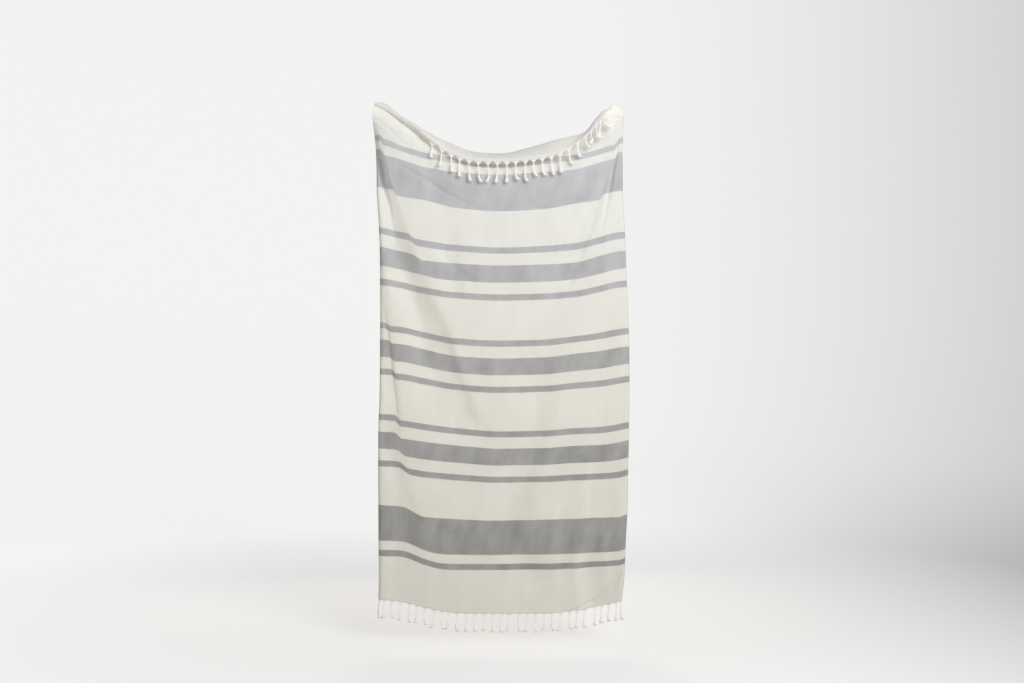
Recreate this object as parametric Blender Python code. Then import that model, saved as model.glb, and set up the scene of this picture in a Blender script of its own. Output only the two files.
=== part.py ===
"""A striped hammam towel that hangs by its two upper corners.

The towel is one cotton cloth, cut 0.97 m wide and 1.80 m long. Its upper end falls forward over the fold
between the corners, and a fringe of knotted tassels hangs from each end.

Frame: metres, +Z up, the towel's front faces -Y. The origin is the middle of the top fold's ridge.
A place on the cloth is given by `across`, 0 at the left selvedge and 1 at the right one as seen from the
front, and by `height`, the distance along the cut cloth from the bottom hem, in metres.
"""

import bpy
import numpy as np

MM = 0.001

# ---------------------------------------------------------------- driving dimensions (metres)
CUT_WIDTH = 0.970        # selvedge to selvedge, laid flat
CUT_LENGTH = 1.800       # hem to hem, laid flat
CLOTH_THICK = 0.0012
PANEL_Y = -0.078         # plane of the hanging front, ahead of the ridge
HEM_Z = -1.672           # bottom hem, below the ridge at mid width
TOP_START = 1.587        # height on the cloth where the upper end leaves the panel's plane

LEFT_CURL_RADIUS = 0.014
LEFT_CURL_LENGTH = 0.034
RIGHT_CURL_RADIUS = 0.010
RIGHT_CURL_LENGTH = 0.020
CURL_TURN = 1.35         # radians that a selvedge turns back before it runs straight
CURL_FADE_FROM = 1.52    # the curls flatten from this height up to the grips
CURL_FADE_TO = 1.70
CURL_LEFT_AT_GRIP = 0.25  # share of a curl's depth that is left at the grips

# Where the tassels sit, as shares across the cloth.
BOTTOM_ROOTS = (
    0.010, 0.022, 0.040, 0.071, 0.106, 0.141, 0.171, 0.202, 0.240, 0.271, 0.295, 0.331, 0.370, 0.401,
    0.441, 0.476, 0.507, 0.538, 0.578, 0.610, 0.643, 0.681, 0.711, 0.746, 0.782, 0.809, 0.841, 0.883,
    0.908, 0.937, 0.968, 0.988,
)
TOP_ROOTS = (
    0.242, 0.280, 0.317, 0.350, 0.386, 0.423, 0.460, 0.498, 0.535, 0.570, 0.608, 0.640, 0.675, 0.710,
    0.743, 0.779, 0.812, 0.843, 0.874, 0.905, 0.935, 0.960,
)
# Lengths of the upper hem's tassels, from the left (mm).
TOP_LENGTHS = (54, 63, 65, 69, 74, 77, 76, 74, 73, 71, 77, 65, 67, 69, 70, 61, 60, 50, 52, 56, 64, 50)
TASSEL_LENGTH = 0.062    # of a tassel at the bottom hem
STRAND_HALF = 0.0015     # half the side of the square strand
FORWARD_LEAN = 0.10      # of a hanging tassel, for each unit down
SWING = 0.03             # sideways, for each unit down
BEND_LENGTH = 0.006      # over which a tassel turns from the hem's direction to its own
LENGTH_DRIFT = 0.05      # share by which the lower tassels' lengths differ
STRIP_HEIGHT = 0.0030
STRIP_THICK = 0.0018
STRIP_GAP = 0.0011       # from the cloth's edge to the fringe's strip
STRIP_END = 0.0015       # the strip stops this far short of the selvedges

# Side edges as seen from the front: height, left x, right x.
SIDE_EDGES = (
    (0.00, -0.447, 0.429), (0.09, -0.446, 0.438), (0.20, -0.447, 0.442), (0.36, -0.448, 0.450),
    (0.55, -0.448, 0.454), (0.75, -0.443, 0.457), (0.93, -0.442, 0.456), (1.08, -0.442, 0.450),
    (1.22, -0.443, 0.445), (1.34, -0.446, 0.440), (1.45, -0.454, 0.433), (1.587, -0.457, 0.431),
)

# Sag: how far a weft line lies above its middle (mm), a row for each height, a column for each x.
SAG_X = (-0.446, -0.370, -0.280, -0.171, -0.009, 0.153, 0.262, 0.352, 0.417, 0.449)
SAG_ROWS = (
    (0.000, (30, 21, 9, 3, 0, 1, 10, 26, 42, 49)),
    (0.180, (30, 26, 9, 1, 0, 2, 5, 9, 14, 25)),
    (0.336, (38, 32, 15, 7, 0, 5, 8, 11, 14, 25)),
    (0.597, (44, 38, 25, 12, 0, 3, 11, 14, 23, 31)),
    (0.923, (56, 52, 32, 9, 0, 4, 17, 27, 39, 44)),
    (1.259, (57, 40, 18, 8, 0, 4, 11, 34, 51, 54)),
    (1.455, (72, 54, 40, 13, 0, 9, 28, 42, 57, 60)),
    (1.587, (76, 55, 27, 9, 0, 8, 19, 43, 60, 63)),
)

# Stepped folds, where the weft lines jump: height, x of the fold, half width (mm), jump (mm).
# The cloth outside the fold, towards the nearer selvedge, is the higher side.
STEPPED_FOLDS = {
    "lower left": (-1, (
        (0.00, -0.262, 108, 22), (0.18, -0.287, 72, 22), (0.336, -0.323, 43, 20), (0.495, -0.359, 22, 20),
        (0.597, -0.377, 14, 18), (0.72, -0.383, 11, 16), (0.87, -0.399, 11, 14), (0.99, -0.417, 14, 11),
        (1.08, -0.428, 14, 0))),
    "upper left": (-1, (
        (1.12, -0.226, 50, 0), (1.20, -0.269, 32, 7), (1.259, -0.309, 20, 13), (1.34, -0.336, 11, 13),
        (1.455, -0.390, 7, 18), (1.587, -0.433, 7, 18))),
    "upper right": (1, (
        (1.30, 0.338, 29, 0), (1.40, 0.345, 11, 7), (1.455, 0.357, 7, 17), (1.587, 0.411, 7, 20))),
}

# Soft valleys pressed back into the panel: height, x of the bottom, left and right half widths (mm),
# depth (mm).
VALLEYS = {
    "long diagonal": (
        (0.00, 0.063, 217, 217, 3), (0.275, 0.034, 253, 162, 7), (0.40, -0.009, 253, 162, 9),
        (0.566, -0.088, 217, 217, 11), (0.73, -0.186, 188, 123, 15), (0.893, -0.262, 120, 123, 21),
        (1.06, -0.309, 88, 100, 26), (1.228, -0.374, 70, 94, 23), (1.34, -0.398, 50, 62, 14),
        (1.42, -0.426, 36, 56, 15), (1.50, -0.456, 26, 56, 18), (1.56, -0.466, 20, 52, 17),
        (1.587, -0.468, 18, 50, 13)),
    "left shoulder": (
        (1.06, -0.182, 43, 58, 0), (1.228, -0.190, 43, 58, 8), (1.39, -0.204, 51, 58, 2),
        (1.52, -0.240, 51, 108, 9), (1.587, -0.260, 72, 108, 5)),
    "left edge": (
        (0.00, -0.384, 51, 144, 5), (0.275, -0.377, 58, 116, 12), (0.40, -0.370, 51, 58, 9),
        (0.566, -0.428, 29, 94, 15), (0.73, -0.403, 36, 45, 9), (0.893, -0.442, 29, 56, 10),
        (1.06, -0.446, 29, 51, 8), (1.228, -0.449, 29, 29, 6), (1.30, -0.449, 29, 29, 0)),
    "right diagonal": (
        (0.00, 0.208, 108, 87, 3), (0.275, 0.009, 87, 108, 7), (0.40, 0.056, 87, 94, 9),
        (0.566, 0.070, 108, 94, 12), (0.73, 0.128, 123, 94, 8), (0.893, 0.099, 108, 166, 12),
        (1.06, 0.153, 108, 144, 6), (1.228, 0.229, 79, 72, 5), (1.39, 0.301, 58, 58, 6),
        (1.455, 0.345, 51, 44, 6), (1.52, 0.384, 51, 44, 6), (1.587, 0.404, 43, 36, 2.5)),
    "inner pleat": (
        (0.00, 0.229, 51, 65, 4), (0.275, 0.215, 36, 51, 6), (0.40, 0.218, 29, 43, 3),
        (0.60, 0.250, 29, 43, 0)),
    "middle pleat": (
        (0.00, 0.334, 70, 95, 17), (0.12, 0.318, 60, 110, 18), (0.275, 0.298, 40, 120, 11),
        (0.40, 0.323, 36, 110, 9), (0.55, 0.338, 36, 95, 5), (0.75, 0.350, 36, 80, 0)),
    "outer pleat": (
        (0.00, 0.417, 36, 36, 2), (0.275, 0.388, 36, 43, 6), (0.40, 0.395, 36, 43, 3),
        (0.60, 0.403, 36, 36, 0)),
}

# The upper end, a row for each section across. `x` is where the section leaves the panel, and each feature is
# (up from the origin, back from the panel's plane) in mm. Left of the middle the hem is tucked into a roll.
TOP_FEATURES = ("lean", "ridge", "crown", "lip", "under", "hem")
TOP_SECTIONS = (
    # x        lean       ridge      crown      lip        under      hem
    (-0.453, ((130, -3), (158, -1), (176, 3), (174, -4), (168, -6), (163, -6))),
    (-0.424, ((118, -1), (146, 1), (172, 6), (166, -5), (154, -6), (146, -4))),
    (-0.370, ((66, 1), (104, 6), (130, 9), (122, -6), (112, -3), (104, 4))),
    (-0.320, ((36, 3), (80, 17), (101, 15), (92, -7), (82, -3), (73, 5))),
    (-0.285, ((13, 4), (60, 30), (78, 18), (66, -9), (55, -7), (46, 0))),
    (-0.258, ((4, 4), (54, 42), (65, 21), (47, -8), (36, -9), (31, -5))),
    (-0.240, ((-4, 6), (48, 50), (56, 28), (36, -7), (25, -10), (19, -9))),
    (-0.197, ((-28, 8), (34, 58), (38, 40), (10, 0), (-2, -9), (-10, -10))),
    (-0.099, ((-64, 10), (0, 69), (4, 52), (-23, -1), (-32, -9), (-40, -10))),
    (-0.009, ((-69, 10), (-1, 76), (0, 62), (-27, -1), (-36, -9), (-43, -10))),
    (0.099, ((-62, 10), (19, 66), (21, 53), (-17, -2), (-29, -10), (-36, -10))),
    (0.208, ((-43, 6), (47, 53), (50, 40), (6, -3), (-5, -10), (-13, -11))),
    (0.298, ((-13, 0), (62, 49), (74, 40), (63, 6), (56, -5), (50, -10))),
    (0.352, ((12, 0), (88, 16), (129, 16), (116, 4), (96, -5), (84, -9))),
    (0.395, ((37, 0), (105, 3), (151, 6), (141, -2), (125, -7), (113, -10))),
    (0.431, ((70, 0), (118, 2), (149, 4), (167, 3), (160, -4), (146, -8))),
)
# Towards the two grips the upper end is drawn sideways: x, then each feature's shift (mm).
TOP_DRAW = (
    (-0.453, (-9, -4, 0, 0, 0, 0)),
    (-0.424, (-4, -2, 0, 0, 0, 0)),
    (-0.370, (0, 0, 0, 0, 0, 0)),
    (0.298, (0, 0, 0, 0, 0, 0)),
    (0.352, (3, 3, -4, -12, -15, -17)),
    (0.395, (0, -8, -20, -28, -32, -36)),
    (0.431, (3, 5, -5, -28, -43, -47)),
)
# Slack of the upper end: x, and the share by which its lower part is held back along the section.
TOP_SLACK = (
    (-0.453, -0.08), (-0.370, 0.02), (-0.320, -0.04), (-0.285, -0.04), (-0.240, 0.0),
    (0.208, 0.0), (0.298, 0.03), (0.352, 0.18), (0.395, 0.19), (0.431, 0.04),
)
SPLINE_STEPS = 10        # points between two features when a section's length is measured

# Lines of the cloth's mesh: (up to this share or height, number of steps).
ACROSS_STEPS = (
    (0.016, 1), (0.035, 4), (0.19, 7), (0.26, 5), (0.80, 10), (0.93, 5), (0.979, 5), (0.993, 3), (1.0, 1),
)
HEIGHT_STEPS = ((0.60, 11), (1.587, 19), (1.65, 4), (1.725, 11), (1.765, 3), (1.80, 7))

# A tassel from root to end: share of its length, half width (mm).
TASSEL_PROFILE = ((0.10, 1.5), (0.45, 1.4), (0.70, 1.5), (0.76, 3.1), (0.84, 3.1), (0.89, 1.8), (1.00, 3.3))


# ---------------------------------------------------------------- curves through tables
def ease(t):
    """0 below 0, 1 above 1, and 3t^2 - 2t^3 between."""
    t = np.clip(t, 0.0, 1.0)
    return t * t * (3.0 - 2.0 * t)


def through(knots, values, at):
    """Monotone cubic curve through `values` (rows, or rows of columns) at `knots`, read at `at`."""
    knots = np.asarray(knots, float)
    values = np.asarray(values, float)
    columns = values.ndim > 1
    step = np.diff(knots)
    wide = step[:, None] if columns else step
    slope = np.diff(values, axis=0) / wide
    before, after = slope[:-1], slope[1:]
    w_before = 2.0 * wide[1:] + wide[:-1]
    w_after = wide[1:] + 2.0 * wide[:-1]
    same_way = before * after > 0.0
    safe_before = np.where(same_way, before, 1.0)
    safe_after = np.where(same_way, after, 1.0)
    mean = (w_before + w_after) / (w_before / safe_before + w_after / safe_after)
    tangent = np.empty_like(values)
    tangent[0], tangent[-1] = slope[0], slope[-1]
    tangent[1:-1] = np.where(same_way, mean, 0.0)
    i = np.clip(np.searchsorted(knots, at, side="right") - 1, 0, len(knots) - 2)
    t = np.clip((at - knots[i]) / step[i], 0.0, 1.0)
    h = step[i]
    if columns:
        t, h = t[..., None], h[..., None]
    return ((1 + 2 * t) * (1 - t) ** 2 * values[i] + t * (1 - t) ** 2 * h * tangent[i]
            + t * t * (3 - 2 * t) * values[i + 1] + t * t * (t - 1) * h * tangent[i + 1])


# ---------------------------------------------------------------- the hanging panel
def sag(x, height):
    """Rise of a weft line over its middle: a curve across each row, and a straight blend between rows."""
    heights = np.array([row[0] for row in SAG_ROWS])
    rows = np.array([row[1] for row in SAG_ROWS], float) * MM
    at_x = through(SAG_X, rows.T, np.clip(x, SAG_X[0], SAG_X[-1]))
    i = np.clip(np.searchsorted(heights, height, side="right") - 1, 0, len(heights) - 2)
    t = np.clip((height - heights[i]) / (heights[i + 1] - heights[i]), 0.0, 1.0)
    low = np.take_along_axis(at_x, i[..., None], -1)[..., 0]
    high = np.take_along_axis(at_x, i[..., None] + 1, -1)[..., 0]
    return low + (high - low) * t


def fold_jumps(x, height):
    """Sum of the stepped folds' jumps, each an eased step across its fold line."""
    total = np.zeros_like(x)
    for outward, rows in STEPPED_FOLDS.values():
        at, place, half, jump = np.array(rows).T
        centre = np.interp(height, at, place)
        width = np.interp(height, at, half) * MM
        drop = np.interp(height, at, jump, left=jump[0] if at[0] == 0.0 else 0.0) * MM
        total += drop * ease(0.5 + outward * (x - centre) / (2.0 * width))
    return total


def valley_depth(x, height):
    """Sum of the valleys, each half a cosine wave wide on either side of its bottom line."""
    total = np.zeros_like(x)
    for rows in VALLEYS.values():
        at, place, left, right, deep = np.array(rows).T
        centre = np.interp(height, at, place)
        half = np.where(x < centre, np.interp(height, at, left), np.interp(height, at, right)) * MM
        depth = np.interp(height, at, deep, left=deep[0] if at[0] == 0.0 else 0.0) * MM
        total += depth * 0.5 * (1.0 + np.cos(np.pi * np.clip(np.abs(x - centre) / half, 0.0, 1.0)))
    return total


def selvedge_curl(beyond, radius):
    """Sideways and backward travel of cloth that turns back: an arc of `radius`, then a straight run."""
    turn = np.clip(beyond / radius, 0.0, CURL_TURN)
    rest = np.clip(beyond - CURL_TURN * radius, 0.0, None)
    sideways = radius * np.sin(turn) + rest * np.cos(CURL_TURN)
    back = radius * (1.0 - np.cos(turn)) + rest * np.sin(CURL_TURN)
    return sideways, back


def panel(across, height):
    """Middle surface of the panel: flat across between the selvedge curls, with sag, folds and valleys."""
    edge_heights, left_x, right_x = np.array(SIDE_EDGES).T
    front_left = through(edge_heights, left_x, height) + LEFT_CURL_RADIUS
    front_right = through(edge_heights, right_x, height) - RIGHT_CURL_RADIUS
    from_left = across * CUT_WIDTH
    flat = CUT_WIDTH - LEFT_CURL_LENGTH - RIGHT_CURL_LENGTH
    x = front_left + (front_right - front_left) * np.clip((from_left - LEFT_CURL_LENGTH) / flat, 0.0, 1.0)
    left_side, left_back = selvedge_curl(np.clip(LEFT_CURL_LENGTH - from_left, 0.0, None), LEFT_CURL_RADIUS)
    past_right = np.clip(from_left - (CUT_WIDTH - RIGHT_CURL_LENGTH), 0.0, None)
    right_side, right_back = selvedge_curl(past_right, RIGHT_CURL_RADIUS)
    x = x - left_side + right_side
    fade = ease((height - CURL_FADE_FROM) / (CURL_FADE_TO - CURL_FADE_FROM))
    curl = (left_back + right_back) * (1.0 - (1.0 - CURL_LEFT_AT_GRIP) * fade)
    y = PANEL_Y + valley_depth(x, height) + curl
    z = HEM_Z + height + sag(x, height) + fold_jumps(x, height)
    return np.stack([x, y, z], -1)


# ---------------------------------------------------------------- the upper end
def top_features(x):
    """The six feature points of the upper end's section at panel place `x`, read across the two tables."""
    section_x = np.array([row[0] for row in TOP_SECTIONS])
    up_back = np.array([row[1] for row in TOP_SECTIONS], float) * MM
    draw_x = np.array([row[0] for row in TOP_DRAW])
    draw = np.array([row[1] for row in TOP_DRAW], float) * MM
    points = []
    for k in range(len(TOP_FEATURES)):
        here = through(section_x, up_back[:, k], np.clip(x, section_x[0], section_x[-1]))
        shift = through(draw_x, draw[:, k], np.clip(x, draw_x[0], draw_x[-1]))
        points.append(np.stack([x + shift, PANEL_Y + here[..., 1], here[..., 0]], -1))
    return points


def along(points, share):
    """Place at `share` of the length of a smooth curve that leaves the first of `points` upwards."""
    p = np.stack(points, 0)
    knots = np.cumsum(np.sqrt(np.linalg.norm(np.diff(p, axis=0), axis=-1)), 0)
    knots = np.concatenate([np.zeros_like(knots[:1]), knots], 0)
    step = np.diff(knots, axis=0)[..., None]
    slope = np.diff(p, axis=0) / step
    tangent = np.empty_like(p)
    tangent[1:-1] = (slope[:-1] * step[1:] + slope[1:] * step[:-1]) / (step[1:] + step[:-1])
    tangent[-1] = slope[-1]
    tangent[0] = slope[0] * np.array([0.3, 0.3, 1.0])
    dense = [p[0]]
    for i in range(len(points) - 1):
        for k in range(SPLINE_STEPS):
            t = (k + 1.0) / SPLINE_STEPS
            dense.append((1 + 2 * t) * (1 - t) ** 2 * p[i] + t * (1 - t) ** 2 * step[i] * tangent[i]
                         + t * t * (3 - 2 * t) * p[i + 1] + t * t * (t - 1) * step[i] * tangent[i + 1])
    dense = np.stack(dense, 0)
    length = np.cumsum(np.linalg.norm(np.diff(dense, axis=0), axis=-1), 0)
    length = np.concatenate([np.zeros_like(length[:1]), length], 0)
    target = share * length[-1]
    i = np.clip((length <= target[None]).sum(0) - 1, 0, len(dense) - 2)
    cell = tuple(np.indices(i.shape))
    start, end = length[(i,) + cell], length[(i + 1,) + cell]
    t = ((target - start) / np.maximum(end - start, 1e-9))[..., None]
    return dense[(i,) + cell] * (1 - t) + dense[(i + 1,) + cell] * t


def cloth(across, height):
    """Middle surface of the whole cloth: the panel up to TOP_START, then the upper end's sections."""
    across, height = np.broadcast_arrays(np.asarray(across, float), np.asarray(height, float))
    low = panel(across, np.minimum(height, TOP_START))
    share = np.clip((height - TOP_START) / (CUT_LENGTH - TOP_START), 0.0, 1.0)
    share = share * (1.0 - np.interp(low[..., 0], *zip(*TOP_SLACK)) * (1.0 - share))
    high = along([low] + top_features(low[..., 0]), share)
    return np.where((height > TOP_START)[..., None], high, low)


def lines(steps):
    """Values from 0 through each (end, count) pair, evenly spaced within each pair."""
    values = [0.0]
    for end, count in steps:
        values.extend(np.linspace(values[-1], end, count + 1)[1:])
    return np.array(values)


# ---------------------------------------------------------------- objects
def material(name, colour, roughness):
    mat = bpy.data.materials.new(name)
    mat.use_nodes = True
    shader = mat.node_tree.nodes["Principled BSDF"]
    shader.inputs["Base Color"].default_value = (*colour, 1.0)
    shader.inputs["Roughness"].default_value = roughness
    shader.inputs["Metallic"].default_value = 0.0
    return mat


def make_object(name, points, faces, mat):
    mesh = bpy.data.meshes.new(name)
    mesh.from_pydata([tuple(p) for p in points], [], faces)
    mesh.validate()
    mesh.shade_smooth()
    mesh.materials.append(mat)
    item = bpy.data.objects.new(name, mesh)
    bpy.context.collection.objects.link(item)
    return item


def make_cloth(name, mat):
    """The cloth as a grid over across and height, its faces to the front, thickened evenly both ways.

    Each cell is cut along its shorter diagonal, so that the front and the back fold along the same lines.
    """
    across, height = lines(ACROSS_STEPS), lines(HEIGHT_STEPS)
    points = cloth(across[None, :], height[:, None])
    rising = np.linalg.norm(points[1:, 1:] - points[:-1, :-1], axis=-1)
    falling = np.linalg.norm(points[1:, :-1] - points[:-1, 1:], axis=-1)
    columns = len(across)
    faces = []
    for row in range(len(height) - 1):
        for col in range(columns - 1):
            a = row * columns + col
            b, c, d = a + 1, a + 1 + columns, a + columns
            if rising[row, col] < falling[row, col]:
                faces.extend(((a, b, c), (a, c, d)))
            else:
                faces.extend(((a, b, d), (b, c, d)))
    item = make_object(name, points.reshape(-1, 3), faces, mat)
    thick = item.modifiers.new("Thickness", "SOLIDIFY")
    thick.thickness = CLOTH_THICK
    thick.offset = 0.0
    return item


def hem_frames(across, height, outward):
    """Point, direction out of the cloth and front normal along a hem; `outward` is -1 below and 1 above."""
    step = 1e-3
    here = cloth(across, height)
    inner = cloth(across, height - outward * step)
    left = cloth(np.clip(across - step, 0.0, 1.0), height)
    right = cloth(np.clip(across + step, 0.0, 1.0), height)
    out = (here - inner) / np.linalg.norm(here - inner, axis=-1, keepdims=True)
    side = (right - left) / np.linalg.norm(right - left, axis=-1, keepdims=True)
    front = np.cross(side, out * outward)
    front /= np.linalg.norm(front, axis=-1, keepdims=True)
    return here, out, front, side


def hanging_path(root, out, index, run):
    """A point of a tassel, `run` along it: out of the hem, then straight down with a small swing."""
    down = np.array([SWING * np.sin(2.1 * index + 0.6), -FORWARD_LEAN, -1.0])
    down /= np.linalg.norm(down)
    bend = BEND_LENGTH * (1.0 - np.exp(-run / BEND_LENGTH))
    return root + out * bend + down * (run - bend)


def strip_marks(roots, whole):
    """Shares across where the strip has a section, and the tassel that grows between a section and the next.

    The strip runs along the `whole` hem, or only from the first root to the last.
    """
    half_root = STRAND_HALF / CUT_WIDTH
    shares = np.array(roots)
    end = STRIP_END / CUT_WIDTH
    start = end if whole else shares[0] - 3.0 * half_root
    stop = 1.0 - end if whole else shares[-1] + 3.0 * half_root
    between = lines(ACROSS_STEPS)
    clear = np.abs(between[:, None] - shares[None, :]).min(1) > 2.5 * half_root
    between = between[clear & (between > start + half_root) & (between < stop - half_root)]
    marks = np.sort(np.concatenate([[start, stop], shares - half_root, shares + half_root, between]))
    root_of = {int(np.searchsorted(marks, share - 0.5 * half_root)) - 1: k for k, share in enumerate(shares)}
    return marks, root_of


def make_fringe(name, height, outward, roots, lengths, mat):
    """A four-sided strip along the hem, with a four-sided strand grown out of its outer face for each root."""
    marks, root_of = strip_marks(roots, outward < 0)
    here, out, front, side = hem_frames(marks, np.full_like(marks, height), outward)
    near = here + out * STRIP_GAP
    far = near + out * STRIP_HEIGHT
    half = front * STRIP_THICK / 2.0
    corners = np.stack([near + half, far + half, far - half, near - half], 1)
    points = list(corners.reshape(-1, 3))
    faces = [(0, 1, 2, 3)]
    for i in range(len(marks) - 1):
        a, b = 4 * i, 4 * (i + 1)
        faces.append((a, b, b + 1, a + 1))
        faces.append((a + 2, b + 2, b + 3, a + 3))
        faces.append((a + 3, b + 3, b, a))
        if i in root_of:
            middle = (far[i] + far[i + 1]) / 2.0
            k = root_of[i]
            ring = (a + 1, b + 1, b + 2, a + 2)
            add_tassel(points, faces, ring, middle, out[i], front[i], side[i], k, lengths[k])
        else:
            faces.append((a + 1, b + 1, b + 2, a + 2))
    end = 4 * (len(marks) - 1)
    faces.append((end + 3, end + 2, end + 1, end))
    if outward < 0:
        faces = [face[::-1] for face in faces]
    return make_object(name, points, faces, mat)


def turned(v, before, after):
    """Vector `v` carried by the smallest turn that takes direction `before` to direction `after`."""
    both = before + after
    return v - both * np.dot(both, v) / (1.0 + np.dot(before, after)) + after * 2.0 * np.dot(before, v)


def add_tassel(points, faces, ring, root, out, front, side, index, length):
    """Carry the root's four corners along the tassel's path with the half widths of TASSEL_PROFILE."""
    before, heading, u, w = root, out, side, front
    for share, half_mm in TASSEL_PROFILE:
        centre = hanging_path(root, out, index, share * length)
        ahead = (centre - before) / np.linalg.norm(centre - before)
        u, w, heading = turned(u, heading, ahead), turned(w, heading, ahead), ahead
        half = half_mm * MM
        first = len(points)
        points.extend((centre - u * half + w * half, centre + u * half + w * half,
                       centre + u * half - w * half, centre - u * half - w * half))
        new = (first, first + 1, first + 2, first + 3)
        for k in range(4):
            m = (k + 1) % 4
            faces.append((ring[k], ring[m], new[m], new[k]))
        ring, before = new, centre
    faces.append(ring)


def clear_scene():
    for item in list(bpy.data.objects):
        bpy.data.objects.remove(item, do_unlink=True)


def main():
    clear_scene()
    cotton = material("cotton_cloth", (0.80, 0.78, 0.73), 0.9)
    yarn = material("cotton_yarn", (0.84, 0.81, 0.76), 0.9)
    make_cloth("towel_cloth", cotton)
    bottom_lengths = TASSEL_LENGTH * (1.0 + LENGTH_DRIFT * np.sin(1.7 * np.arange(len(BOTTOM_ROOTS))))
    top_lengths = np.array(TOP_LENGTHS) * MM
    make_fringe("fringe_bottom", 0.0, -1, BOTTOM_ROOTS, bottom_lengths, yarn)
    make_fringe("fringe_top", CUT_LENGTH, 1, TOP_ROOTS, top_lengths, yarn)


main()
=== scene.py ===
"""A striped hammam towel hanging by its two upper corners: its cloth, its tassels and their finishes.

Metres, +Z up, the striped front faces -Y. A place on the cloth is `across`, 0 at the left selvedge and 1 at
the right one, and `height`, the distance along the cut cloth from the bottom hem.
"""

import math

import bpy
import numpy as np
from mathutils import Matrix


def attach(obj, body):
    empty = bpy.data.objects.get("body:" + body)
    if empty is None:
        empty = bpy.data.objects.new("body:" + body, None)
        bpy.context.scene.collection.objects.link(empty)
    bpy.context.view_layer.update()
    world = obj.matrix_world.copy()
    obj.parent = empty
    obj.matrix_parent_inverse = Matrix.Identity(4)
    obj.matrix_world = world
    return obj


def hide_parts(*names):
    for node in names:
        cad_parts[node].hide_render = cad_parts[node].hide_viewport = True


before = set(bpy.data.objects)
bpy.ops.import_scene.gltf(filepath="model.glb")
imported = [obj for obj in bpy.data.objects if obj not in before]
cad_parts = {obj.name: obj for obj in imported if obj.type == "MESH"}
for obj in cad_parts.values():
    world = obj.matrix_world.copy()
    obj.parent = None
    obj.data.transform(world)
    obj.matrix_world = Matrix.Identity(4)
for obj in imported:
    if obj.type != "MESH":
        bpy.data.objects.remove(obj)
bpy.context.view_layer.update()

MM = 0.001

# ---------------------------------------------------------------- the cloth's own sizes (metres)
CUT_WIDTH = 0.970
CUT_LENGTH = 1.800
CLOTH_THICK = 0.0012
PANEL_Y = -0.078         # plane of the hanging front
HEM_Z = -1.672           # bottom hem at mid width
TOP_START = 1.587        # height on the cloth where the upper end leaves the panel's plane
LEFT_CURL_RADIUS = 0.014
LEFT_CURL_LENGTH = 0.034
RIGHT_CURL_RADIUS = 0.007
RIGHT_CURL_LENGTH = 0.020
CURL_TURN = 1.35         # radians that a selvedge turns back before it runs straight
CURL_FADE_FROM = 1.52    # the curls flatten from this height up to the grips
CURL_FADE_TO = 1.70
CURL_LEFT_AT_GRIP = 0.25  # share of a curl's depth that is left at the grips

# Where the tassels sit, as shares across the cloth.
BOTTOM_ROOTS = (
    0.010, 0.022, 0.040, 0.071, 0.106, 0.141, 0.171, 0.202, 0.240, 0.271, 0.295, 0.331, 0.370, 0.401,
    0.441, 0.476, 0.507, 0.538, 0.578, 0.610, 0.643, 0.681, 0.711, 0.746, 0.782, 0.809, 0.841, 0.883,
    0.908, 0.937, 0.968, 0.988,
)
TOP_ROOTS = (
    0.242, 0.280, 0.317, 0.350, 0.386, 0.423, 0.460, 0.498, 0.535, 0.570, 0.608, 0.640, 0.675, 0.710,
    0.743, 0.779, 0.812, 0.843, 0.874, 0.905, 0.935, 0.960,
)

# Side edges as seen from the front: height, left x, right x.
SIDE_EDGES = (
    (0.00, -0.447, 0.429), (0.09, -0.446, 0.438), (0.20, -0.447, 0.442), (0.36, -0.448, 0.450),
    (0.55, -0.448, 0.454), (0.75, -0.443, 0.457), (0.93, -0.442, 0.456), (1.08, -0.442, 0.450),
    (1.22, -0.443, 0.445), (1.34, -0.446, 0.440), (1.45, -0.454, 0.433), (1.587, -0.457, 0.431),
)

# Sag: how far a weft line lies above its middle (mm), a row for each height, a column for each x.
SAG_X = (-0.446, -0.370, -0.280, -0.171, -0.009, 0.153, 0.262, 0.352, 0.417, 0.449)
SAG_ROWS = (
    (0.000, (30, 21, 9, 3, 0, 1, 10, 26, 42, 49)),
    (0.180, (30, 26, 9, 1, 0, 2, 5, 9, 14, 25)),
    (0.336, (38, 32, 15, 7, 0, 5, 8, 11, 14, 25)),
    (0.597, (44, 38, 25, 12, 0, 3, 11, 14, 23, 31)),
    (0.923, (56, 52, 32, 9, 0, 4, 17, 27, 39, 44)),
    (1.259, (57, 40, 18, 8, 0, 4, 11, 34, 51, 54)),
    (1.455, (72, 54, 40, 13, 0, 9, 28, 42, 57, 60)),
    (1.587, (76, 55, 27, 9, 0, 8, 19, 43, 60, 63)),
)

# Stepped folds, where the weft lines jump: height, x of the fold, half width (mm), jump (mm).
STEPPED_FOLDS = {
    "lower left": (-1, (
        (0.00, -0.262, 108, 22), (0.18, -0.287, 72, 22), (0.336, -0.323, 43, 20), (0.495, -0.359, 22, 20),
        (0.597, -0.377, 14, 18), (0.72, -0.383, 11, 16), (0.87, -0.399, 11, 14), (0.99, -0.417, 14, 11),
        (1.08, -0.428, 14, 0))),
    "upper left": (-1, (
        (1.12, -0.226, 50, 0), (1.20, -0.269, 32, 7), (1.259, -0.309, 20, 13), (1.34, -0.336, 11, 13),
        (1.455, -0.390, 7, 18), (1.587, -0.433, 7, 18))),
    "upper right": (1, (
        (1.30, 0.338, 29, 0), (1.40, 0.345, 11, 7), (1.455, 0.357, 7, 17), (1.587, 0.411, 7, 20))),
}

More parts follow.
